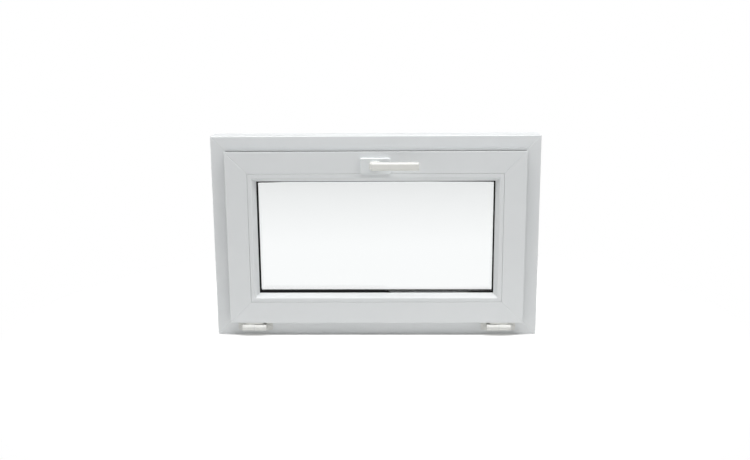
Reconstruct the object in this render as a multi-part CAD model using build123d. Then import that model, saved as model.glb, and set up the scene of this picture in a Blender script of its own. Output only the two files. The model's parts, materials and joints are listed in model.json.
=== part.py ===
"""Bottom-hung hopper window in white PVC, with a lever handle on its top rail.

X runs along the sill, the room is on the -Y side, the weather on the +Y side, and Z is up.
The origin is on the underside of the sill, at mid width and mid depth of the fixed frame.
Profile sections are drawn as (depth, height): depth is Y, height is the distance inward from
the profile's own outer edge, so one section serves the sill, the head and both jambs.
"""
import os

from build123d import *

# Overall sizes of the fixed frame
WINDOW_WIDTH = 800.0
WINDOW_HEIGHT = 500.0
FRAME_DEPTH = 70.0

# Fixed frame profile
FRAME_FACE = 43.0
REBATE_FLAT = 24.0
GUTTER_WIDTH = 12.0
GUTTER_DROP = 2.5
STOP_RISE = 24.0
STOP_DEPTH = 19.0
STOP_LAND = 7.0
STOP_SLOPE = 5.0
FRAME_EDGE_RADIUS = 1.5
FRAME_INNER_RADIUS = 2.0
FIXING_GROOVE_SPACING = 32.0
FIXING_GROOVE_WIDTH = 8.0
FIXING_GROOVE_DEPTH = 3.0

# Walls of the hollow profiles, and the shallow vee that cleans off each corner weld
PVC_WALL = 3.0
PVC_WEB = 2.0
FRAME_CHAMBERS = 4
SASH_CHAMBERS = 3
WELD_GROOVE_WIDTH = 2.4
WELD_GROOVE_DEPTH = 0.6

# How the sash sits in the frame
SASH_OVERLAP = 8.0
REBATE_GAP = 12.0
SASH_GAP = 5.0

# Sash profile
LIP_DEPTH = 15.0
LIP_SLOPE = 1.8
LIP_SEAL_SHIFT = 1.0
SASH_VIEW = 54.0
SASH_EDGE_RADIUS = 1.0
JOINT_LINE_RADIUS = 0.8
LEG_NOSE = 4.0
LEG_GLASS_GAP = 0.8
LEG_SLOPE = 16.0
GEAR_GROOVE_WIDTH = 12.0
GEAR_GROOVE_DEPTH = 8.0
GEAR_GROOVE_OFFSET = 16.0

# Glazing bead, with the tongue that clips into the sash
BEAD_VIEW = 20.0
BEAD_FLAT = 10.0
BEAD_DEPTH = 16.5
BEAD_NOSE = 2.5
BEAD_EDGE_RADIUS = 2.0
BEAD_JOINT_GAP = 0.5
TONGUE_LENGTH = 3.0
TONGUE_WIDTH = 5.0
TONGUE_SETBACK = 8.0

# Sealed double glazing
PANE_THICKNESS = 4.0
CAVITY = 16.0
GLASS_COVER = 18.0
GLASS_EDGE_GAP = 6.0
SEAL_WIDTH = 4.0
SPACER_WIDTH = 7.0

# Gaskets
BEAD_GASKET_DEPTH = 3.5
OUTER_GASKET_DEPTH = 4.0
BEAD_GASKET_ROOT = 8.0
BEAD_GASKET_LIP = 2.0
OUTER_GASKET_ROOT = 4.0
OUTER_GASKET_LIP = 0.7
GASKET_LIP_EDGE = 0.6
SEAL_GROOVE_WIDTH = 3.0
SEAL_GROOVE_DEPTH = 3.0
SEAL_BULB_WIDTH = 5.0
SEAL_BULB_RADIUS = 2.0
LIP_SEAL_LEAN = 1.5
SEAL_CLEARANCE = 0.3
STOP_SEAL_BITE = 4.5

# Hinges: one knuckle on the frame leaf, one on the sash leaf, a pin through both
HINGE_INSET = 95.0
HINGE_LENGTH = 60.0
KNUCKLE_RADIUS = 7.2
KNUCKLE_CHAMFER = 1.0
KNUCKLE_GAP = 0.5
KNUCKLE_LIP_GAP = 4.8
KNUCKLE_END_WALL = 4.0
KNUCKLE_WEB = 10.0
LEAF_THICKNESS = 3.4
LEAF_WIDTH = 86.0
LEAF_DROP = 12.0
LEAF_LIP_GAP = 1.5
LEAF_CORNER_RADIUS = 4.0
FLANGE_TOP_WIDTH = 52.0
FLANGE_WIDTH = 39.0
FLANGE_THICKNESS = 3.4
FLANGE_FRONT_SETBACK = 0.2
FLANGE_BACK_SETBACK = 1.5
FLANGE_CORNER_RADIUS = 2.5
ARM_DEPTH = 5.0
ARM_LENGTH = 16.0
PIN_RADIUS = 3.0
PIN_CLEARANCE = 0.08

# Handle
PLATE_WIDTH = 72.0
PLATE_HEIGHT = 38.0
PLATE_DEPTH = 11.0
PLATE_CORNER_RADIUS = 3.0
PLATE_CHAMFER = 1.0
PLATE_JOINT_GAP = 0.5
SPINDLE_RISE = 3.25
COLLAR_RADIUS = 11.5
COLLAR_HEIGHT = 1.5
LEVER_REACH = 104.0
LEVER_HEEL = 14.0
LEVER_HEIGHT = 19.5
LEVER_THICKNESS = 12.0
LEVER_STANDOFF = 32.0
NECK_WIDTH = 25.0
NECK_RADIUS = 10.0
NECK_LENGTH = 5.0
NECK_CLEARANCE = 0.3
NECK_INNER_RADIUS = 14.0
NECK_OUTER_RADIUS = 10.0
LEVER_TOP_RADIUS = 5.5
LEVER_BACK_RADIUS = 3.0
LEVER_LOW_CHAMFER = 5.0
LEVER_END_CHAMFER = 1.2

# Drain slots in the sill's gutter, and the caps over their mouths on the weather side
DRAIN_SPACING = 500.0
DRAIN_WIDTH = 36.0
DRAIN_HEIGHT = 12.0
DRAIN_DEPTH = 5.0
DRAIN_WALL = 1.5
DRAIN_LEVEL = 21.0
DRAIN_CORNER_RADIUS = 3.0
DRAIN_CHAMFER = 1.2
DRAIN_SLOT_LENGTH = 25.0
DRAIN_SLOT_WIDTH = 4.0

# Depths, from the room to the weather
room_face = -FRAME_DEPTH / 2
weather_face = FRAME_DEPTH / 2
stop_face = weather_face - STOP_DEPTH
lip_back = room_face - SASH_GAP
sash_face = lip_back - LIP_DEPTH
sash_back = stop_face - SASH_GAP
bead_back = sash_face + BEAD_DEPTH
bead_nose = bead_back - BEAD_NOSE
room_pane_front = bead_back + BEAD_GASKET_DEPTH
room_pane_back = room_pane_front + PANE_THICKNESS
outer_pane_front = room_pane_back + CAVITY
outer_pane_back = outer_pane_front + PANE_THICKNESS
leg_face = outer_pane_back + OUTER_GASKET_DEPTH
leg_ledge = outer_pane_back + LEG_GLASS_GAP
tongue_front = sash_face + TONGUE_SETBACK
tongue_back = tongue_front + TONGUE_WIDTH

# Heights of the sash section, inward from the edge of its lip
sash_edge = FRAME_FACE - SASH_OVERLAP
body_edge = SASH_OVERLAP + REBATE_GAP
sight_line = SASH_VIEW + BEAD_VIEW
glass_edge = sight_line - GLASS_COVER
glazing_floor = glass_edge - GLASS_EDGE_GAP
tongue_root = SASH_VIEW - TONGUE_LENGTH
lip_seal_middle = SASH_OVERLAP / 2 + LIP_SEAL_SHIFT

# Hinge axis, in the plane of the sash's room face
hinge_y = sash_face
hinge_z = sash_edge - KNUCKLE_LIP_GAP - KNUCKLE_RADIUS
hinge_x = WINDOW_WIDTH / 2 - HINGE_INSET

# Handle places
plate_bottom = WINDOW_HEIGHT - sash_edge - SASH_VIEW + PLATE_JOINT_GAP
plate_centre = plate_bottom + PLATE_HEIGHT / 2
spindle_z = plate_centre + SPINDLE_RISE
plate_front = sash_face - PLATE_DEPTH
lever_back = sash_face - LEVER_STANDOFF
lever_front = lever_back - LEVER_THICKNESS
neck_end = plate_front - COLLAR_HEIGHT - NECK_CLEARANCE
lever_shoulder = neck_end - NECK_LENGTH


def section(points, rounds=()):
    """Closed (depth, height) outline; each (corner, radius) in rounds is rounded off."""
    face = make_face(Polyline(*points, close=True))
    for corner, radius in rounds:
        face = fillet(face.vertices().sort_by_distance((*corner, 0))[0], radius)
    return face


def chambers(front, back, low, high, count=1):
    """Row of equal hollow chambers between two depths, with thin webs between them."""
    width = (back - front - (count - 1) * PVC_WEB) / count
    first = front + width / 2
    middle = (low + high) / 2
    return [Pos(first + i * (width + PVC_WEB), middle) * Rectangle(width, high - low) for i in range(count)]


def weld_grooves(half, rise, depth, inward):
    """Shallow vee along the mitre at each end of a rail, cut inward into the face at that depth."""
    mitre = Plane(origin=(half, depth, 0), x_dir=(1, 0, 1), z_dir=(-1, 0, 1))
    side = WELD_GROOVE_WIDTH / 2
    vee = make_face(Polyline((-side, 0), (side, 0), (0, inward * WELD_GROOVE_DEPTH), close=True))
    groove = extrude(mitre * vee, amount=rise * 2 ** 0.5)
    return [groove, mirror(groove, Plane.YZ)]


def mitred_rail(profile, length, welded_faces):
    """Runs a section along X, outer edge at height 0, and cuts both ends at 45 degrees."""
    blank = extrude(Plane.YZ * profile, amount=length / 2, both=True)
    top = blank.bounding_box().max.Z
    half = length / 2
    outline = Polyline((-half, 0), (half, 0), (half - top, top), (top - half, top), close=True)
    reach = max(abs(blank.bounding_box().min.Y), abs(blank.bounding_box().max.Y)) + 1
    rail = blank & extrude(Plane.XZ * make_face(outline), amount=reach, both=True)
    for depth, inward in welded_faces:
        rail -= weld_grooves(half, top, depth, inward)
    return rail


def four_rails(profile, inset, welded_faces=()):
    """The section on all four sides of a rectangle that lies inset from the frame's edge."""
    across = mitred_rail(profile, WINDOW_WIDTH - 2 * inset, welded_faces)
    upright = mitred_rail(profile, WINDOW_HEIGHT - 2 * inset, welded_faces)
    side = WINDOW_WIDTH / 2 - inset
    middle = WINDOW_HEIGHT / 2
    return {
        "bottom": Pos(0, 0, inset) * across,
        "top": Pos(0, 0, WINDOW_HEIGHT - inset) * Rot(0, 180, 0) * across,
        "left": Pos(-side, 0, middle) * Rot(0, 90, 0) * upright,
        "right": Pos(side, 0, middle) * Rot(0, -90, 0) * upright,
    }


def ring(profile, inset):
    """The same four rails, joined at the corners to one endless piece."""
    rails = four_rails(profile, inset)
    return rails["bottom"] + rails["left"] + rails["top"] + rails["right"]


def depth_block(width, height, front, back, x=0.0, z=0.0, corner=0.0):
    """Upright block between two depths, centred on x and z, with rounded corners if given."""
    outline = RectangleRounded(width, height, corner) if corner else Rectangle(width, height)
    return Pos(x, back, z) * extrude(Plane.XZ * outline, amount=back - front)


def frame_profile():
    """Outer frame: room leg, rebate with a gutter, hollow weather stop and two fixing grooves."""
    stop_top = FRAME_FACE + STOP_RISE
    gutter = FRAME_FACE - GUTTER_DROP
    seal_middle = FRAME_FACE + REBATE_GAP + STOP_SEAL_BITE
    seal_low = seal_middle - SEAL_GROOVE_WIDTH / 2
    seal_high = seal_middle + SEAL_GROOVE_WIDTH / 2
    groove_near = (FIXING_GROOVE_SPACING - FIXING_GROOVE_WIDTH) / 2
    groove_far = (FIXING_GROOVE_SPACING + FIXING_GROOVE_WIDTH) / 2
    points = [
        (room_face, 0), (room_face, FRAME_FACE), (room_face + REBATE_FLAT, FRAME_FACE),
        (stop_face - GUTTER_WIDTH, gutter), (stop_face, gutter),
        (stop_face, seal_low), (stop_face + SEAL_GROOVE_DEPTH, seal_low),
        (stop_face + SEAL_GROOVE_DEPTH, seal_high), (stop_face, seal_high),
        (stop_face, stop_top), (stop_face + STOP_LAND, stop_top),
        (weather_face, stop_top - STOP_SLOPE), (weather_face, 0),
        (groove_far, 0), (groove_far, FIXING_GROOVE_DEPTH),
        (groove_near, FIXING_GROOVE_DEPTH), (groove_near, 0),
        (-groove_near, 0), (-groove_near, FIXING_GROOVE_DEPTH),
        (-groove_far, FIXING_GROOVE_DEPTH), (-groove_far, 0),
    ]
    rounds = [
        ((room_face, 0), FRAME_EDGE_RADIUS), ((weather_face, 0), FRAME_EDGE_RADIUS),
        ((room_face, FRAME_FACE), FRAME_INNER_RADIUS), ((stop_face, stop_top), FRAME_EDGE_RADIUS),
        ((stop_face + STOP_LAND, stop_top), FRAME_INNER_RADIUS),
        ((weather_face, stop_top - STOP_SLOPE), FRAME_INNER_RADIUS),
    ]
    main_row = chambers(
        room_face + PVC_WALL, weather_face - PVC_WALL, FIXING_GROOVE_DEPTH + PVC_WALL, gutter - PVC_WALL,
        FRAME_CHAMBERS,
    )
    stop_hollow = chambers(
        stop_face + SEAL_GROOVE_DEPTH + PVC_WALL, weather_face - PVC_WALL,
        gutter - PVC_WALL + PVC_WEB, stop_top - STOP_SLOPE - PVC_WALL,
    )
    return section(points, rounds) - main_row - stop_hollow


def sash_profile():
    """Sash: overlapping lip with a sloped edge, gear groove, glazing rebate with the bead's groove, weather leg."""
    seal_low = lip_seal_middle - SEAL_GROOVE_WIDTH / 2
    seal_high = lip_seal_middle + SEAL_GROOVE_WIDTH / 2
    seal_floor = lip_back - SEAL_GROOVE_DEPTH
    gear_back = sash_back - GEAR_GROOVE_OFFSET
    gear_front = gear_back - GEAR_GROOVE_WIDTH
    gear_floor = body_edge + GEAR_GROOVE_DEPTH
    ledge = sight_line - OUTER_GASKET_ROOT
    points = [
        (sash_face, 0), (sash_face, SASH_VIEW), (tongue_front, SASH_VIEW),
        (tongue_front, tongue_root), (tongue_back, tongue_root), (tongue_back, glazing_floor),
        (leg_ledge, glazing_floor), (leg_ledge, ledge), (leg_face, ledge),
        (leg_face, sight_line), (leg_face + LEG_NOSE, sight_line),
        (sash_back, sight_line - LEG_SLOPE), (sash_back, body_edge),
        (gear_back, body_edge), (gear_back, gear_floor),
        (gear_front, gear_floor), (gear_front, body_edge), (lip_back, body_edge),
        (lip_back, seal_high), (seal_floor, seal_high), (seal_floor, seal_low),
        (lip_back, seal_low), (lip_back, LIP_SLOPE),
    ]
    rounds = [
        ((sash_face, 0), SASH_EDGE_RADIUS), ((sash_face, SASH_VIEW), JOINT_LINE_RADIUS),
        ((leg_face, sight_line), JOINT_LINE_RADIUS), ((leg_face + LEG_NOSE, sight_line), FRAME_EDGE_RADIUS),
        ((sash_back, sight_line - LEG_SLOPE), FRAME_INNER_RADIUS), ((sash_back, body_edge), FRAME_EDGE_RADIUS),
        ((lip_back, LIP_SLOPE), JOINT_LINE_RADIUS / 2),
    ]
    face_hollow_back = seal_floor - PVC_WALL
    face_hollow = chambers(
        sash_face + PVC_WALL, face_hollow_back, PVC_WALL + LIP_SLOPE / 2, tongue_root - PVC_WALL,
    )
    main_row = chambers(
        face_hollow_back + PVC_WEB, sash_back - PVC_WALL, gear_floor + PVC_WALL, glazing_floor - PVC_WALL,
        SASH_CHAMBERS,
    )
    leg_hollow = chambers(
        leg_face + PVC_WALL, sash_back - PVC_WALL,
        glazing_floor - PVC_WALL + PVC_WEB, sight_line - LEG_SLOPE - PVC_WALL / 2,
    )
    return section(points, rounds) - face_hollow - main_row - leg_hollow


def bead_profile():
    """Glazing bead: flat beside the sash face with a fine joint, bevel down to the glass, tongue into the sash."""
    bead_side = SASH_VIEW + BEAD_JOINT_GAP
    points = [
        (sash_face, bead_side), (sash_face, SASH_VIEW + BEAD_FLAT), (bead_nose, sight_line),
        (bead_back, sight_line), (bead_back, glazing_floor), (tongue_back, glazing_floor),
        (tongue_back, tongue_root), (tongue_front, tongue_root), (tongue_front, bead_side),
    ]
    rounds = [
        ((sash_face, bead_side), JOINT_LINE_RADIUS),
        ((sash_face, SASH_VIEW + BEAD_FLAT), BEAD_EDGE_RADIUS),
        ((bead_nose, sight_line), JOINT_LINE_RADIUS),
    ]
    return section(points, rounds)


def glazing_gasket_profile(glass, holder, depth, lip):
    """Strip between the glass and its holder, with a lip that tapers out over the glass."""
    root = sight_line - depth
    tip = sight_line + lip
    lip_edge = glass + GASKET_LIP_EDGE * (1 if holder > glass else -1)
    return section([(holder, root), (holder, sight_line), (lip_edge, tip), (glass, tip), (glass, root)])


def bulb_seal_profile(face, middle, outward, lean=0.0):
    """Weather seal: a root in its groove and a rounded bulb across the sash gap, wider by lean at its outer side."""
    groove = face - outward * SEAL_GROOVE_DEPTH
    crown = face + outward * (SASH_GAP - SEAL_CLEARANCE)
    low, high = middle - SEAL_GROOVE_WIDTH / 2, middle + SEAL_GROOVE_WIDTH / 2
    bulb_low, bulb_high = middle - SEAL_BULB_WIDTH / 2 - lean, middle + SEAL_BULB_WIDTH / 2
    points = [
        (groove, low), (face, low), (face, bulb_low), (crown, bulb_low),
        (crown, bulb_high), (face, bulb_high), (face, high), (groove, high),
    ]
    return section(points, [((crown, bulb_low), SEAL_BULB_RADIUS), ((crown, bulb_high), SEAL_BULB_RADIUS)])


def fixed_frame():
    """The four welded frame rails, the seal on their stop and the drain caps."""
    rails = four_rails(frame_profile(), 0, [(room_face, 1), (weather_face, -1)])
    seal_middle = FRAME_FACE + REBATE_GAP + STOP_SEAL_BITE
    parts = {
        "frame_sill": rails["bottom"] - drain_slots(),
        "frame_head": rails["top"],
        "frame_jamb_left": rails["left"],
        "frame_jamb_right": rails["right"],
        "frame_gasket": ring(bulb_seal_profile(stop_face, seal_middle, -1), 0),
    }
    for side, sign in (("left", -1), ("right", 1)):
        parts[f"drain_cap_{side}"] = drain_cap(sign * DRAIN_SPACING / 2)
    return parts


def drain_slots():
    """Water's way out of the sill: down through the gutter's floor, then out behind each cap."""
    gutter = FRAME_FACE - GUTTER_DROP
    depth = stop_face - GUTTER_WIDTH / 2
    fall = gutter - DRAIN_LEVEL
    run = weather_face - depth
    down = Box(DRAIN_SLOT_LENGTH, DRAIN_SLOT_WIDTH, fall)
    out = Box(DRAIN_SLOT_LENGTH, run, DRAIN_SLOT_WIDTH)
    slots = []
    for x in (-DRAIN_SPACING / 2, DRAIN_SPACING / 2):
        slots.append(Pos(x, depth, DRAIN_LEVEL + fall / 2) * down)
        slots.append(Pos(x, depth + run / 2, DRAIN_LEVEL) * out)
    return slots


def drain_cap(x):
    """Low hood over a drain slot, open underneath."""
    back = weather_face + DRAIN_DEPTH
    hood = depth_block(DRAIN_WIDTH, DRAIN_HEIGHT, weather_face, back, x, DRAIN_LEVEL, DRAIN_CORNER_RADIUS)
    hood = chamfer(hood.faces().sort_by(Axis.Y)[-1].edges(), DRAIN_CHAMFER)
    mouth_width = DRAIN_WIDTH - 4 * DRAIN_WALL
    mouth_height = DRAIN_HEIGHT - DRAIN_WALL
    mouth_level = DRAIN_LEVEL - DRAIN_WALL
    return hood - depth_block(mouth_width, mouth_height, weather_face, back - DRAIN_WALL, x, mouth_level)


def sash():
    """The four welded sash rails, their seal, the four mitred beads and the glazing gaskets."""
    rails = four_rails(sash_profile(), sash_edge, [(sash_face, 1), (sash_back, -1)])
    beads = four_rails(bead_profile(), sash_edge)
    parts = {
        "sash_bottom_rail": rails["bottom"],
        "sash_top_rail": rails["top"],
        "sash_stile_left": rails["left"],
        "sash_stile_right": rails["right"],
        "sash_gasket": ring(bulb_seal_profile(lip_back, lip_seal_middle, 1, LIP_SEAL_LEAN), sash_edge),
    }
    bead_strip = glazing_gasket_profile(room_pane_front, bead_back, BEAD_GASKET_ROOT, BEAD_GASKET_LIP)
    outer_strip = glazing_gasket_profile(outer_pane_back, leg_face, OUTER_GASKET_ROOT, OUTER_GASKET_LIP)
    parts["bead_gasket"] = ring(bead_strip, sash_edge)
    parts["outer_glazing_gasket"] = ring(outer_strip, sash_edge)
    for side, bead in beads.items():
        parts[f"bead_{side}"] = bead
    return parts


def glazing():
    """Two panes, the spacer bar between them and the seal round the edge."""
    inset = sash_edge + glass_edge
    middle = WINDOW_HEIGHT / 2

    def sheet(cover, front, back):
        width = WINDOW_WIDTH - 2 * (inset + cover)
        height = WINDOW_HEIGHT - 2 * (inset + cover)
        return depth_block(width, height, front, back, z=middle)

    def loop(outer, width):
        return sheet(outer, room_pane_back, outer_pane_front) - sheet(outer + width, room_pane_back, outer_pane_front)

    return {
        "pane_room": sheet(0, room_pane_front, room_pane_back),
        "pane_outside": sheet(0, outer_pane_front, outer_pane_back),
        "edge_seal": loop(0, SEAL_WIDTH),
        "spacer_bar": loop(SEAL_WIDTH, SPACER_WIDTH),
    }


def knuckle(x_start, x_end, closed_end, bore_radius):
    """Barrel along X on the hinge axis, bored from the parting line and closed at the far end."""
    length = x_end - x_start
    barrel = Pos((x_start + x_end) / 2, hinge_y, hinge_z) * Rot(0, 90, 0) * Cylinder(KNUCKLE_RADIUS, length)
    far_end = barrel.faces().sort_by(Axis.X)[closed_end]
    barrel = chamfer(far_end.edges(), KNUCKLE_CHAMFER)
    bore_length = length - KNUCKLE_END_WALL
    bore_middle = (x_start + x_end) / 2 - KNUCKLE_END_WALL / 2 * (1 if closed_end else -1)
    return barrel - Pos(bore_middle, hinge_y, hinge_z) * Rot(0, 90, 0) * Cylinder(bore_radius, bore_length)


def hinge(centre):
    """Hinge of the right side: the inner knuckle stands on the frame, the outer one hangs from the sash."""
    half = HINGE_LENGTH / 2
    parting = KNUCKLE_GAP / 2
    leaf_top = sash_edge - LEAF_LIP_GAP
    leaf_bottom = hinge_z - LEAF_DROP
    leaf_front = room_face - LEAF_THICKNESS
    leaf = depth_block(
        LEAF_WIDTH, leaf_top - leaf_bottom, leaf_front, room_face, centre, (leaf_top + leaf_bottom) / 2,
        LEAF_CORNER_RADIUS,
    )
    web_length = half - parting - KNUCKLE_CHAMFER
    web_x = centre - parting - web_length / 2
    frame_web = depth_block(web_length, KNUCKLE_WEB, hinge_y, leaf_front, web_x, hinge_z)
    pin_length = HINGE_LENGTH - 2 * KNUCKLE_END_WALL
    pin = Pos(centre, hinge_y, hinge_z) * Rot(0, 90, 0) * Cylinder(PIN_RADIUS, pin_length)
    frame_knuckle = knuckle(centre - half, centre - parting, 0, PIN_RADIUS)

    flange_front = sash_face + FLANGE_FRONT_SETBACK
    flange_back = lip_back - FLANGE_BACK_SETBACK
    flange_low = sash_edge - FLANGE_THICKNESS
    arm = depth_block(
        ARM_LENGTH, flange_low - hinge_z, flange_front, flange_front + ARM_DEPTH,
        centre + parting + ARM_LENGTH / 2, (flange_low + hinge_z) / 2,
    )
    loose_radius = PIN_RADIUS + PIN_CLEARANCE
    bore = Pos(centre, hinge_y, hinge_z) * Rot(0, 90, 0) * Cylinder(loose_radius, pin_length)
    sash_knuckle = knuckle(centre + parting, centre + half, -1, loose_radius)
    return {
        "hinge_frame_leaf": frame_knuckle + (frame_web - pin) + leaf,
        "hinge_sash_leaf": sash_knuckle + (arm - bore) + flange(centre, flange_front, flange_back, flange_low),
        "hinge_pin": pin,
    }


def flange(centre, front, back, low):
    """Tab under the sash's lip: it narrows downward, and its top lies against the lip's slope."""
    high = sash_edge + LIP_SLOPE
    wide, narrow = FLANGE_TOP_WIDTH / 2, FLANGE_WIDTH / 2
    tab = make_face(Polyline((-wide, high), (wide, high), (narrow, low), (-narrow, low), close=True))
    tab = fillet(tab.vertices().sort_by(Axis.Y)[:2], FLANGE_CORNER_RADIUS)
    block = Pos(centre, back, 0) * extrude(Plane.XZ * tab, amount=back - front)

    def seat(depth):
        return sash_edge + LIP_SLOPE * (depth - sash_face) / LIP_DEPTH

    under_lip = make_face(Polyline((front, low), (back, low), (back, seat(back)), (front, seat(front)), close=True))
    return block & Pos(centre, 0, 0) * extrude(Plane.YZ * under_lip, amount=FLANGE_TOP_WIDTH, both=True)


def lever_rim(lever, top, outer):
    """Edges of the lever's top or bottom face along its outer or its inner line, without the two ends."""
    face = lever.faces().sort_by(Axis.Z)[-1 if top else 0]
    rim = []
    for edge in face.edges():
        middle = edge @ 0.5
        at_end = middle.X > LEVER_REACH - 0.01 or middle.Y > lever_shoulder - 0.01
        is_outer = middle.X < 0 or middle.Y < lever_back - 1
        if is_outer == outer and not at_end:
            rim.append(edge)
    return rim


def handle():
    """Plate with a low collar on the top rail, and the lever with its round neck as one casting."""
    plate = depth_block(
        PLATE_WIDTH, PLATE_HEIGHT, plate_front, sash_face, 0, plate_centre, PLATE_CORNER_RADIUS
    )
    plate = chamfer(plate.faces().sort_by(Axis.Y)[0].edges(), PLATE_CHAMFER)
    collar = Pos(0, plate_front, spindle_z) * extrude(Plane.XZ * Circle(COLLAR_RADIUS), amount=COLLAR_HEIGHT)

    neck_right = NECK_WIDTH - LEVER_HEEL
    outline = make_face(
        Polyline(
            (-LEVER_HEEL, lever_shoulder), (-LEVER_HEEL, lever_front), (LEVER_REACH, lever_front),
            (LEVER_REACH, lever_back), (neck_right, lever_back), (neck_right, lever_shoulder), close=True,
        )
    )
    bends = (((-LEVER_HEEL, lever_front), NECK_OUTER_RADIUS), ((neck_right, lever_back), NECK_INNER_RADIUS))
    for corner, radius in bends:
        outline = fillet(outline.vertices().sort_by_distance((*corner, 0))[0], radius)
    lever = Pos(0, 0, spindle_z) * extrude(outline, amount=LEVER_HEIGHT / 2, both=True)
    lever = fillet(lever_rim(lever, True, True), LEVER_TOP_RADIUS)
    lever = fillet(lever_rim(lever, True, False), LEVER_BACK_RADIUS)
    lever = fillet(lever_rim(lever, False, False), LEVER_BACK_RADIUS)
    lever = chamfer(lever_rim(lever, False, True), LEVER_LOW_CHAMFER)
    lever = chamfer(lever.faces().sort_by(Axis.X)[-1].edges(), LEVER_END_CHAMFER)
    neck = Pos(0, neck_end, spindle_z) * extrude(Plane.XZ * Circle(NECK_RADIUS), amount=neck_end - lever_back)
    return {"handle_base": plate + collar, "handle_lever": lever + neck}


def main():
    """Builds every piece and writes one file for each."""
    pieces = {**fixed_frame(), **sash(), **glazing(), **handle()}
    for name, shape in hinge(hinge_x).items():
        pieces[f"{name}_right"] = shape
        pieces[f"{name}_left"] = mirror(shape, Plane.YZ)
    os.makedirs("parts", exist_ok=True)
    for name, shape in pieces.items():
        export_step(shape, f"parts/{name}.step")


main()
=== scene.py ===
"""Looks of a white PVC hopper window.

Finishes for its solids, the glazing gasket as it was pressed in, and the screws and washers of the hinges,
the washers' grey rims also standing in for the shade in the gap between the knuckles.
Lengths are metres in the window's own frame: X along the sill, the room on the -Y side, Z up.
"""
import json
import math

import bpy
import numpy as np
from mathutils import Matrix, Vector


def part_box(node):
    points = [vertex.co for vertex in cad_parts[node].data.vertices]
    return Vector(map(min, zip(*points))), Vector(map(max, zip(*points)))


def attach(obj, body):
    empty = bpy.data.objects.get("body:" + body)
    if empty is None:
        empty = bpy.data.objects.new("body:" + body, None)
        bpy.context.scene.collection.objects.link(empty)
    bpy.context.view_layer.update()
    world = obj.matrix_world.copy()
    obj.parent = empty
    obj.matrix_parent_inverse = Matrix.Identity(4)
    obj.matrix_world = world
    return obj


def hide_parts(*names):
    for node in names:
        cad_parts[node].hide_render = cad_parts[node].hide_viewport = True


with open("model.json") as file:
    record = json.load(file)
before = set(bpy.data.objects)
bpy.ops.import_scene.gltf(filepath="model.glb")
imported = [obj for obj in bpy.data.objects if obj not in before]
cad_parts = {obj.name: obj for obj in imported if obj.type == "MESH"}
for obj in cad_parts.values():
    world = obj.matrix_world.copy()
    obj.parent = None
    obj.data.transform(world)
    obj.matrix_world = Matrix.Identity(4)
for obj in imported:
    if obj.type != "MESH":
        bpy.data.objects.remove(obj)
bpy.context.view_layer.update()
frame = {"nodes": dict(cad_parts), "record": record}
nodes = frame["nodes"]

MM = 0.001

# Photograph and camera: a lens length in pixels, and the camera's place and turn
PHOTO_WIDTH = 750
LENS_PIXELS = 912.3
SENSOR = 36.0
CAMERA_PLACE = (0.0415, -2.2299, 0.7480)
CAMERA_PITCH = math.radians(12.33)
CAMERA_YAW = math.radians(-1.137)
CAMERA_ROLL = math.radians(-0.374)


# Small helpers for nodes, colours and meshes

def linear(colour):
    """sRGB hex colour as linear red, green, blue and full alpha."""
    srgb = np.array([int(colour[i:i + 2], 16) for i in (1, 3, 5)]) / 255
    rgb = np.where(srgb <= 0.04045, srgb / 12.92, ((srgb + 0.055) / 1.055) ** 2.4)
    return (*rgb.tolist(), 1.0)


def add(tree, kind, inputs=None, **settings):
    """Adds a node: settings are its properties, inputs its socket values or the sockets that feed them."""
    node = tree.nodes.new(kind)
    for key, value in settings.items():
        setattr(node, key, value)
    for key, value in (inputs or {}).items():
        if isinstance(value, bpy.types.NodeSocket):
            tree.links.new(value, node.inputs[key])
        else:
            node.inputs[key].default_value = value
    return node


def finish(name, **sockets):
    """New material with its constant sockets set: gives it, its tree, its shader and Object coordinates."""
    material = bpy.data.materials.new(name)
    material.use_nodes = True
    tree = material.node_tree
    shader = tree.nodes["Principled BSDF"]
    for key, value in sockets.items():
        shader.inputs[key.replace("_", " ")].default_value = value
    place = add(tree, "ShaderNodeTexCoord").outputs["Object"]
    return material, tree, shader, place


def spread(tree, value, low, high):
    """Maps a 0 to 1 pattern to the range from low to high."""
    limits = {"Value": value, "To Min": low, "To Max": high}
    return add(tree, "ShaderNodeMapRange", limits).outputs["Result"]


def shade_between(tree, pattern, dark, light):
    """Colour that runs from dark to light with a pattern."""
    mix = add(tree, "ShaderNodeMix", {"Factor": pattern}, data_type="RGBA")
    mix.inputs[6].default_value = linear(dark)
    mix.inputs[7].default_value = linear(light)
    return mix.outputs[2]


def roughen(tree, shader, height, depth):
    """Feeds a height pattern of the given depth in metres to the shader's normal."""
    bump = add(tree, "ShaderNodeBump", {"Height": height, "Distance": depth, "Strength": 1.0})
    tree.links.new(bump.outputs["Normal"], shader.inputs["Normal"])


# Finishes

def extruded_pvc(name, along):
    """White window PVC, extruded through a polished die: a satin skin with hair-fine lines along the run.

    The die lines are a fraction of a millimetre apart on a real profile and are drawn 2 mm apart to show.
    """
    material, tree, shader, place = finish(name, IOR=1.53, Specular_IOR_Level=0.5)
    line_pitch, line_length, line_depth, patch_size = 2 * MM, 400 * MM, 0.012 * MM, 90 * MM
    stretch = [1 / line_pitch] * 3
    stretch["XYZ".index(along)] = 1 / line_length
    run = add(tree, "ShaderNodeMapping", {"Vector": place, "Scale": stretch}).outputs["Vector"]
    lines = add(tree, "ShaderNodeTexNoise", {"Vector": run, "Scale": 1.0, "Detail": 2.0}).outputs[0]
    patches = {"Vector": place, "Scale": 1 / patch_size, "Detail": 3.0}
    cloud = add(tree, "ShaderNodeTexNoise", patches).outputs[0]
    colour = shade_between(tree, cloud, "#E6E9EA", "#EBEDEE")
    tree.links.new(colour, shader.inputs["Base Color"])
    tree.links.new(spread(tree, cloud, 0.26, 0.36), shader.inputs["Roughness"])
    roughen(tree, shader, lines, line_depth)
    return material


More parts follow.
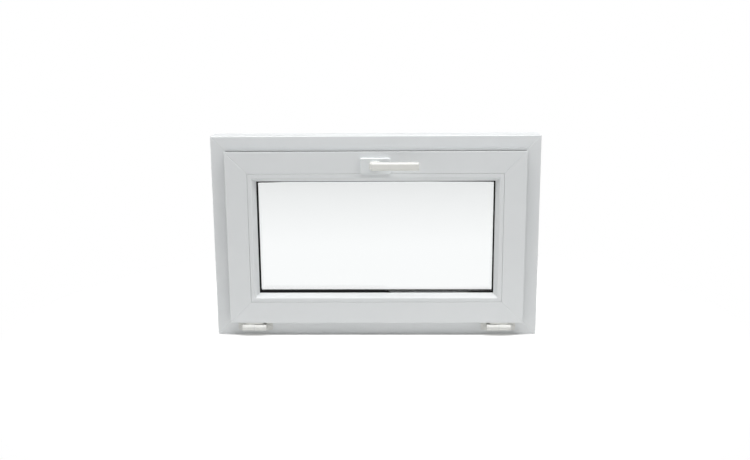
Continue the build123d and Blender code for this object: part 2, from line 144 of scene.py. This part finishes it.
def powder_coat(name, dark, light):
    """White polyester powder coat on a casting: a faint orange peel, a little warmer than the PVC."""
    material, tree, shader, place = finish(name, IOR=1.5)
    peel_size, peel_depth, patch_size = 1.6 * MM, 0.02 * MM, 25 * MM
    bumps = {"Vector": place, "Scale": 1 / peel_size, "Detail": 1.0}
    peel = add(tree, "ShaderNodeTexNoise", bumps).outputs[0]
    patches = {"Vector": place, "Scale": 1 / patch_size, "Detail": 2.0}
    cloud = add(tree, "ShaderNodeTexNoise", patches).outputs[0]
    tree.links.new(shade_between(tree, cloud, dark, light), shader.inputs["Base Color"])
    tree.links.new(spread(tree, peel, 0.30, 0.40), shader.inputs["Roughness"])
    roughen(tree, shader, peel, peel_depth)
    return material


def seal_rubber():
    """Black EPDM seal: matt, with the fine bloom of extruded rubber."""
    material, tree, shader, place = finish("black EPDM seal", IOR=1.5, Specular_IOR_Level=0.15)
    grain_size, grain_depth = 0.8 * MM, 0.02 * MM
    grains = {"Vector": place, "Scale": 1 / grain_size, "Detail": 3.0}
    grain = add(tree, "ShaderNodeTexNoise", grains).outputs[0]
    tree.links.new(shade_between(tree, grain, "#08080A", "#141416"), shader.inputs["Base Color"])
    tree.links.new(spread(tree, grain, 0.5, 0.7), shader.inputs["Roughness"])
    roughen(tree, shader, grain, grain_depth)
    return material


def float_glass():
    """Clear float glass: flat to the eye, with the faint long wave of the melt and a hint of green."""
    material, tree, shader, place = finish(
        "clear float glass", IOR=1.52, Roughness=0.0, Transmission_Weight=1.0, Base_Color=linear("#FCFDFD")
    )
    wave_length, wave_depth = 150 * MM, 0.01 * MM
    waves = {"Vector": place, "Scale": 1 / wave_length, "Detail": 0.0}
    wave = add(tree, "ShaderNodeTexNoise", waves).outputs[0]
    roughen(tree, shader, wave, wave_depth)
    return material


def spacer_aluminium():
    """Mill-finished aluminium spacer bar with a row of breather slits down its middle, one every 3 mm: the
    slits are painted shade, a dark colour for the hollow bar behind them, not holes.
    """
    material, tree, shader, place = finish("mill aluminium spacer", Metallic=1.0)
    slit_pitch, slit_length, slit_half_width = 3 * MM, 1.6 * MM, 0.35 * MM
    low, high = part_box("spacer_bar")
    middle = (low.y + high.y) / 2
    axes = add(tree, "ShaderNodeSeparateXYZ", {"Vector": place}).outputs
    along = add(tree, "ShaderNodeMath", {0: axes["X"], 1: axes["Z"]}, operation="ADD").outputs[0]
    phase = add(tree, "ShaderNodeMath", {0: along, 1: slit_pitch}, operation="FLOORED_MODULO").outputs[0]
    slit = add(tree, "ShaderNodeMath", {0: phase, 1: slit_length}, operation="LESS_THAN").outputs[0]
    near_middle = {0: axes["Y"], 1: middle, 2: slit_half_width}
    row = add(tree, "ShaderNodeMath", near_middle, operation="COMPARE").outputs[0]
    # Painted shade: the slits are not cut, and their dark colour stands for the shade in the hollow bar
    # behind them.
    painted_slit_shade = add(tree, "ShaderNodeMath", {0: slit, 1: row}, operation="MULTIPLY").outputs[0]
    tree.links.new(shade_between(tree, painted_slit_shade, "#C4C6C8", "#3A3B3C"), shader.inputs["Base Color"])
    tree.links.new(spread(tree, painted_slit_shade, 0.38, 0.8), shader.inputs["Roughness"])
    return material


def edge_sealant():
    """Dark two-part sealant round the glass edge, trowelled: matt with shallow ripples."""
    material, tree, shader, place = finish("dark edge sealant", IOR=1.5)
    ripple_size, ripple_depth = 4 * MM, 0.1 * MM
    ripples = {"Vector": place, "Scale": 1 / ripple_size, "Detail": 2.0}
    ripple = add(tree, "ShaderNodeTexNoise", ripples).outputs[0]
    tree.links.new(shade_between(tree, ripple, "#161718", "#26282A"), shader.inputs["Base Color"])
    tree.links.new(spread(tree, ripple, 0.5, 0.7), shader.inputs["Roughness"])
    roughen(tree, shader, ripple, ripple_depth)
    return material


def plated_steel():
    """Zinc-plated steel: cool grey metal with a cloudy passivated sheen."""
    material, tree, shader, place = finish("zinc-plated steel", Metallic=1.0)
    patch_size = 5 * MM
    patches = {"Vector": place, "Scale": 1 / patch_size, "Detail": 3.0}
    cloud = add(tree, "ShaderNodeTexNoise", patches).outputs[0]
    tree.links.new(shade_between(tree, cloud, "#A9ADB0", "#C3C6C8"), shader.inputs["Base Color"])
    tree.links.new(spread(tree, cloud, 0.25, 0.42), shader.inputs["Roughness"])
    return material


def moulded_cap():
    """White moulded nylon: a fine spark-eroded grain, duller than the PVC beside it."""
    material, tree, shader, place = finish("moulded white nylon", IOR=1.53)
    grain_size, grain_depth = 0.7 * MM, 0.03 * MM
    grains = {"Vector": place, "Scale": 1 / grain_size, "Detail": 2.0}
    grain = add(tree, "ShaderNodeTexNoise", grains).outputs[0]
    tree.links.new(shade_between(tree, grain, "#E2E5E6", "#EBEDED"), shader.inputs["Base Color"])
    tree.links.new(spread(tree, grain, 0.45, 0.6), shader.inputs["Roughness"])
    roughen(tree, shader, grain, grain_depth)
    return material


pvc_level = extruded_pvc("white PVC, extruded, level run", "X")
pvc_upright = extruded_pvc("white PVC, extruded, upright run", "Z")
coat_handle = powder_coat("white powder coat, handle", "#EAEAE5", "#EFEFEB")
coat_plate = powder_coat("white powder coat, handle plate", "#E4E8E9", "#EAEDEE")
coat_hinge = powder_coat("white powder coat, hinge", "#E1E1DD", "#E8E8E5")
rubber = seal_rubber()
steel = plated_steel()

node_finish = {
    "glass_clear": float_glass(),
    "spacer_aluminium": spacer_aluminium(),
    "edge_sealant": edge_sealant(),
    "seal_black": rubber,
    "hinge_white": coat_hinge,
    "handle_white": coat_handle,
    "pin_steel": steel,
    "cap_white": moulded_cap(),
}


def dress_solids():
    """Gives every solid the finish of its slot; PVC rails take the one whose lines follow their run."""
    for row in frame["record"]["subparts"]:
        name, slot = row["node"], row["material_slot"]
        upright = "jamb" in name or "stile" in name or name in ("bead_left", "bead_right")
        material = node_finish.get(slot) or (pvc_upright if upright else pvc_level)
        if name == "handle_base":
            material = coat_plate
        solid = nodes[name]
        solid.data.materials.clear()
        solid.data.materials.append(material)


dress_solids()


# Small pieces that the solids don't have

def surface(name, grid, loop_rows=False, loop_columns=False):
    """Smooth piece of quads over a grid of points; a looped direction joins its last line to its first."""
    rows, columns = grid.shape[:2]
    number = np.arange(rows * columns).reshape(rows, columns)
    below = np.roll(number, -1, 0)
    quads = np.stack([number, below, np.roll(below, -1, 1), np.roll(number, -1, 1)], -1)
    quads = quads[:rows if loop_rows else -1, :columns if loop_columns else -1]
    mesh = bpy.data.meshes.new(name)
    mesh.from_pydata(grid.reshape(-1, 3).tolist(), [], quads.reshape(-1, 4).tolist())
    mesh.polygons.foreach_set("use_smooth", np.ones(len(mesh.polygons), bool))
    piece = bpy.data.objects.new(name, mesh)
    bpy.context.scene.collection.objects.link(piece)
    return piece


# Width of the gasket's lip in mm: along the bottom and the top, from left to right, and at the sides
BOTTOM_PLACES = (-291, -98, -72, -43, -23, 20, 38, 156, 205, 222, 245, 270, 291)
BOTTOM_WIDTHS = (7.0, 7.3, 7.4, 7.2, 7.0, 6.6, -1.0, -1.2, 0.2, 1.0, 2.2, 3.6, 4.2)
TOP_PLACES = (-291, -255, -225, 130, 190, 265, 291)
TOP_WIDTHS = (3.8, 3.4, 2.2, 2.1, 2.7, 3.3, 3.6)
LIP_RIGHT, LIP_LEFT = 3.6, 4.4
LIP_CORNER_REACH = 9.0
GASKET_ROOT = 8.0
GASKET_TIP = 0.35
SIDE_STEPS = 180
FRONT_STEPS = 10


def glazing_gasket():
    """Black strip pushed in between bead and glass, whose lip comes out unevenly over the glass.

    Its section runs round the sight line: a point at height h towards the pane's middle lies on the rectangle
    of half size W - h by H - h, at (a (W - h), b (H - h)), while a and b go round a square. From the root
    the section rises to the bead's edge, turns over a quarter ellipse to the lip's width, and drops back
    along the glass. Near a corner the lip's width eases into the mean of the two sides.
    """
    low, high = (np.array(corner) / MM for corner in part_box("bead_gasket"))
    half_width = high[0] - GASKET_ROOT
    half_height = (high[2] - low[2]) / 2 - GASKET_ROOT
    middle = (high[2] + low[2]) / 2
    depth = high[1] - low[1]

    step = np.linspace(-1, 1, SIDE_STEPS, endpoint=False)
    one = np.ones(SIDE_STEPS)
    a = np.concatenate([step, one, -step, -one])
    b = np.concatenate([-one, step, one, -step])
    bottom_lip = np.interp(step * half_width, BOTTOM_PLACES, BOTTOM_WIDTHS)
    top_lip = np.interp(-step * half_width, TOP_PLACES, TOP_WIDTHS)
    lip = np.concatenate([bottom_lip, one * LIP_RIGHT, top_lip, one * LIP_LEFT])
    corner_lip = np.array([(BOTTOM_WIDTHS[-1] + LIP_RIGHT) / 2, (LIP_RIGHT + TOP_WIDTHS[-1]) / 2,
                           (TOP_WIDTHS[0] + LIP_LEFT) / 2, (LIP_LEFT + BOTTOM_WIDTHS[0]) / 2])
    corner_number = np.where(a > 0, np.where(b > 0, 1, 0), np.where(b > 0, 2, 3))
    from_corner = np.minimum(abs(a), abs(b))
    run = np.where(abs(a) == 1, half_height, half_width) * (1 - from_corner)
    ease = np.clip(run / LIP_CORNER_REACH, 0, 1)
    lip = corner_lip[corner_number] + (lip - corner_lip[corner_number]) * ease * ease * (3 - 2 * ease)

    turn = np.linspace(0, np.pi / 2, FRONT_STEPS)
    back = np.concatenate([[0], (depth - GASKET_TIP) * (1 - np.cos(turn)), [depth, depth]])
    rise = np.concatenate([[0], np.sin(turn), [1, 0]])
    root = np.concatenate([[-GASKET_ROOT], np.zeros(FRONT_STEPS + 1), [-GASKET_ROOT]])
    height = root + rise * lip[:, None]
    x = a[:, None] * (half_width - height)
    y = np.broadcast_to(low[1] + back, x.shape)
    z = middle + b[:, None] * (half_height - height)
    piece = surface("glazing_gasket", np.stack([x, y, z], -1) * MM, loop_rows=True, loop_columns=True)
    piece.data.materials.append(rubber)
    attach(piece, "sash")
    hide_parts("bead_gasket")


glazing_gasket()

# Hinge screws in mm: the leaf they sit on, the head, their places and the cross recess
LEAF_THICKNESS = 3.4
SCREW_RADIUS = 3.2
SCREW_CROWN = 1.0
SCREW_LEVEL = 24.5
SCREW_REACH = 37.0
RECESS_DEPTH = 0.8
RECESS_ARM = 1.7
RECESS_HALF_WIDTH = 0.55
RECESS_SIDE_SLOPE = 0.15
RECESS_END_SLOPE = 0.25
SCREW_STEPS = 48


def leaf_screw(name, x):
    """Raised countersunk screw head with a cross recess, on the front of a hinge's frame leaf.

    Over a square grid (u, v) the disc is p = u sqrt(1 - v v / 2), q = v sqrt(1 - u u / 2), times the radius.
    The head rises by the crown times 1 - r r, and two crossed slots with steep sides are taken off.
    """
    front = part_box("hinge_frame_leaf_left")[1][1] / MM - LEAF_THICKNESS
    u, v = np.meshgrid(*[np.linspace(-1, 1, SCREW_STEPS)] * 2, indexing="ij")
    p = SCREW_RADIUS * u * np.sqrt(1 - v * v / 2)
    q = SCREW_RADIUS * v * np.sqrt(1 - u * u / 2)

    def slot(along, across):
        side = np.clip((RECESS_HALF_WIDTH - abs(across)) / RECESS_SIDE_SLOPE, 0, 1)
        return side * np.clip((RECESS_ARM - abs(along)) / RECESS_END_SLOPE, 0, 1)

    crown = SCREW_CROWN * (1 - (p * p + q * q) / SCREW_RADIUS ** 2)
    rise = crown - RECESS_DEPTH * np.maximum(slot(p, q), slot(q, p))
    piece = surface(name, np.stack([x + p, front - rise, SCREW_LEVEL + q], -1) * MM)
    piece.data.materials.append(coat_hinge)
    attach(piece, "frame")


# Hinge washers in mm: real washers whose grey rims also paint the shade of the gap between the knuckles
WASHER_RADIUS = 7.6
WASHER_BORE = 3.3
WASHER_HALF_THICKNESS = 0.22
WASHER_STEPS = 72
RIM_STEPS = 9


def hinge_washer_and_gap_shade(name, pin):
    """Thin washer with a rounded rim between the two knuckles of a hinge, turned round the pin's axis. Its
    grey steel rim also draws the split between the knuckles as a dark line, painted shade of the gap there.

    Its section goes from the bore out along one face, over a half circle at the rim and back along the
    other face. Each of its points (across, radius) is carried round to (across, radius cos t, radius sin t).
    """
    middle = np.array([sum(pair) / 2 for pair in zip(*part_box(pin))]) / MM
    rim = np.linspace(0, np.pi, RIM_STEPS)
    half = WASHER_HALF_THICKNESS
    across = np.concatenate([[-half], -half * np.cos(rim), [half]])
    radius = np.concatenate([[WASHER_BORE], WASHER_RADIUS - half + half * np.sin(rim), [WASHER_BORE]])
    turn = np.linspace(0, 2 * np.pi, WASHER_STEPS, endpoint=False)[:, None]
    y, z = radius * np.cos(turn), radius * np.sin(turn)
    x = np.broadcast_to(across, y.shape)
    piece = surface(name, (np.stack([x, y, z], -1) + middle) * MM, loop_rows=True, loop_columns=True)
    # Steel rather than white, so that the rim reads as a dark line: painted shade of the knuckle gap as well
    # as a washer.
    piece.data.materials.append(steel)
    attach(piece, "frame")


for side in ("left", "right"):
    hinge_washer_and_gap_shade(f"hinge_washer_and_gap_shade_{side}", f"hinge_pin_{side}")
    leaf_low, leaf_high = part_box(f"hinge_frame_leaf_{side}")
    hinge_middle = (leaf_low[0] + leaf_high[0]) / 2 / MM
    leaf_screw(f"leaf_screw_{side}_1", hinge_middle - SCREW_REACH)
    leaf_screw(f"leaf_screw_{side}_2", hinge_middle + SCREW_REACH)


# Stage

# Floor in metres: size and level, where the sheet and its mirrored glow fade, how far the shadow shows
FLOOR_HALF = 4.0
FLOOR_LEVEL = -0.5 * MM
SHEET_END, SHEET_FADE = -2.6, -1.3
GLOW_END, GLOW_FADE = -2.3, -1.0
SHADOW_NEAR, SHADOW_FAR = 0.45, 0.95

# Glow of the floor to the camera near the window, and the lower glow in the strip of the given width along
# the sill, a painted shadow line over the real contact shadow
LIFT, FOOT_SHADOW_LIFT = 0.5, 0.1
FOOT_SHADOW_WIDTH = 14 * MM

# Brightness of the room round the window as light
SURROUND = 0.04

# Softboxes: name, watts, width and height in metres, place, and turns about X, Y and Z in degrees
LAMPS = (
    ("overhead softbox", 50, (2.4, 1.1), (0.1, -0.55, 2.2), (0, 0, 0)),
    ("right panel", 4.2, (1.2, 1.4), (1.5, -1.1, 0.7), (90, 0, 53.7)),
    ("left panel", 3.8, (1.2, 1.4), (-1.5, -1.1, 0.7), (90, 0, -53.7)),
    ("right back panel", 6, (1.2, 1.4), (1.5, 1.1, 0.7), (90, 0, 126.3)),
    ("left back panel", 6, (1.2, 1.4), (-1.5, 1.1, 0.7), (90, 0, -126.3)),
)


def soft_lamp(name, watts, size, place, turn):
    """One rectangular softbox from the table."""
    data = bpy.data.lights.new(name, "AREA")
    data.shape = "RECTANGLE"
    data.size, data.size_y = size
    data.energy = watts
    lamp = bpy.data.objects.new(name, data)
    lamp.location = place
    lamp.rotation_euler = [math.radians(angle) for angle in turn]
    bpy.context.scene.collection.objects.link(lamp)


def stage():
    """White sheet on the floor, a broad softbox overhead, a panel at each corner and a dim surround."""
    scene = bpy.context.scene
    scene.view_settings.view_transform = "Standard"

    mesh = bpy.data.meshes.new("floor")
    corners = [(-1, -1), (1, -1), (1, 1), (-1, 1)]
    points = [(x * FLOOR_HALF, y * FLOOR_HALF, FLOOR_LEVEL) for x, y in corners]
    mesh.from_pydata(points, [], [(0, 1, 2, 3)])
    floor = bpy.data.objects.new("floor", mesh)
    scene.collection.objects.link(floor)
    mesh.materials.append(floor_sheet())

    for lamp in LAMPS:
        soft_lamp(*lamp)

    world = bpy.data.worlds.new("white room")
    scene.world = world
    world.use_nodes = True
    tree = world.node_tree
    tree.nodes.clear()
    dim = add(tree, "ShaderNodeBackground", {"Color": linear("#FCFDFF"), "Strength": SURROUND})
    white = add(tree, "ShaderNodeBackground", {"Color": (1, 1, 1, 1), "Strength": 1.0})
    mix = add(tree, "ShaderNodeMixShader", {0: looked_at(tree), 1: dim.outputs[0], 2: white.outputs[0]})
    add(tree, "ShaderNodeOutputWorld", {"Surface": mix.outputs[0]})


def looked_at(tree):
    """1 for rays from the camera and for mirrored and refracted ones, 0 for the light on things."""
    path = add(tree, "ShaderNodeLightPath").outputs
    mirrored = {0: path["Is Camera Ray"], 1: path["Is Glossy Ray"]}
    either = add(tree, "ShaderNodeMath", mirrored, operation="MAXIMUM").outputs[0]
    through = {0: either, 1: path["Is Transmission Ray"]}
    return add(tree, "ShaderNodeMath", through, operation="MAXIMUM").outputs[0]


def floor_sheet():
    """White sheet that turns to grey floor towards the viewer.

    Light sees a matt sheet. The camera sees it white away from the window, and near it with a glow that
    leaves the shadow. Along the sill's front the glow dips, a painted shadow line over the real contact
    shadow that keeps the line of contact dark. Mirrors and glass see a glow that is white behind the window
    and fades far in front of it.
    """
    material = bpy.data.materials.new("white floor sheet")
    material.use_nodes = True
    tree = material.node_tree
    tree.nodes.clear()
    place = add(tree, "ShaderNodeTexCoord").outputs["Object"]
    axes = add(tree, "ShaderNodeSeparateXYZ", {"Vector": place}).outputs
    depth = axes["Y"]
    fade = {"Value": depth, "From Min": SHEET_END, "From Max": SHEET_FADE}
    sheet = add(tree, "ShaderNodeMapRange", fade).outputs["Result"]
    matt = add(tree, "ShaderNodeBsdfDiffuse", {"Color": shade_between(tree, sheet, "#6A6A6A", "#FBFBFA")})

    distance = add(tree, "ShaderNodeVectorMath", {0: place}, operation="LENGTH").outputs["Value"]
    away = {"Value": distance, "From Min": SHADOW_NEAR, "From Max": SHADOW_FAR}
    clear = add(tree, "ShaderNodeMapRange", away).outputs["Result"]
    path = add(tree, "ShaderNodeLightPath").outputs
    mirror_fade = {"Value": depth, "From Min": GLOW_END, "From Max": GLOW_FADE}
    glow = add(tree, "ShaderNodeMapRange", mirror_fade).outputs["Result"]
    mirrored = add(tree, "ShaderNodeEmission", {"Color": (1, 1, 1, 1), "Strength": glow})
    white = add(tree, "ShaderNodeEmission", {"Color": (1, 1, 1, 1), "Strength": 1.0})
    sill_low, sill_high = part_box("frame_sill")
    aside = add(tree, "ShaderNodeMath", {0: axes["X"]}, operation="ABSOLUTE").outputs[0]
    strip_end = sill_high.x - FOOT_SHADOW_WIDTH
    beyond_end = add(tree, "ShaderNodeMath", {0: aside, 1: strip_end}, operation="SUBTRACT").outputs[0]
    ahead = add(tree, "ShaderNodeMath", {0: depth, 1: sill_low.y}, operation="SUBTRACT").outputs[0]
    from_foot = add(tree, "ShaderNodeMath", {0: ahead}, operation="ABSOLUTE").outputs[0]
    reach = add(tree, "ShaderNodeMath", {0: beyond_end, 1: from_foot}, operation="MAXIMUM").outputs[0]
    # Painted shadow: the glow drops in this strip along the sill, so the floor there is darker than beside
    # it, lit or not, on top of the real contact shadow.
    foot = {"Value": reach, "From Min": FOOT_SHADOW_WIDTH / 2, "From Max": FOOT_SHADOW_WIDTH,
            "To Min": FOOT_SHADOW_LIFT, "To Max": LIFT}
    by_foot = add(tree, "ShaderNodeMapRange", foot).outputs["Result"]
    lift = add(tree, "ShaderNodeEmission", {"Color": (1, 1, 1, 1), "Strength": by_foot})
    lit = add(tree, "ShaderNodeAddShader", {0: matt.outputs[0], 1: lift.outputs[0]})
    near = add(tree, "ShaderNodeMixShader", {0: clear, 1: lit.outputs[0], 2: white.outputs[0]})
    by_ray = {0: path["Is Camera Ray"], 1: mirrored.outputs[0], 2: near.outputs[0]}
    seen = add(tree, "ShaderNodeMixShader", by_ray)
    mix = add(tree, "ShaderNodeMixShader", {0: looked_at(tree), 1: matt.outputs[0], 2: seen.outputs[0]})
    add(tree, "ShaderNodeOutputMaterial", {"Surface": mix.outputs[0]})
    return material


def camera():
    """Camera at the photograph's place: right, up and back are built from its pitch, yaw and roll."""
    data = bpy.data.cameras.new("camera")
    data.sensor_width = SENSOR
    data.lens = LENS_PIXELS / PHOTO_WIDTH * SENSOR
    sin_p, cos_p = math.sin(CAMERA_PITCH), math.cos(CAMERA_PITCH)
    sin_y, cos_y = math.sin(CAMERA_YAW), math.cos(CAMERA_YAW)
    sin_r, cos_r = math.sin(CAMERA_ROLL), math.cos(CAMERA_ROLL)
    right = np.array([cos_y, -sin_y, 0.0])
    ahead = np.array([sin_y * cos_p, cos_y * cos_p, -sin_p])
    up = np.array([sin_y * sin_p, cos_y * sin_p, cos_p])
    rolled_right = right * cos_r + up * sin_r
    rolled_up = up * cos_r - right * sin_r
    turn = Matrix(np.stack([rolled_right, rolled_up, -ahead], 1).tolist()).to_4x4()
    thing = bpy.data.objects.new("camera", data)
    thing.matrix_world = Matrix.Translation(CAMERA_PLACE) @ turn
    bpy.context.scene.collection.objects.link(thing)
    bpy.context.scene.camera = thing


stage()
camera()
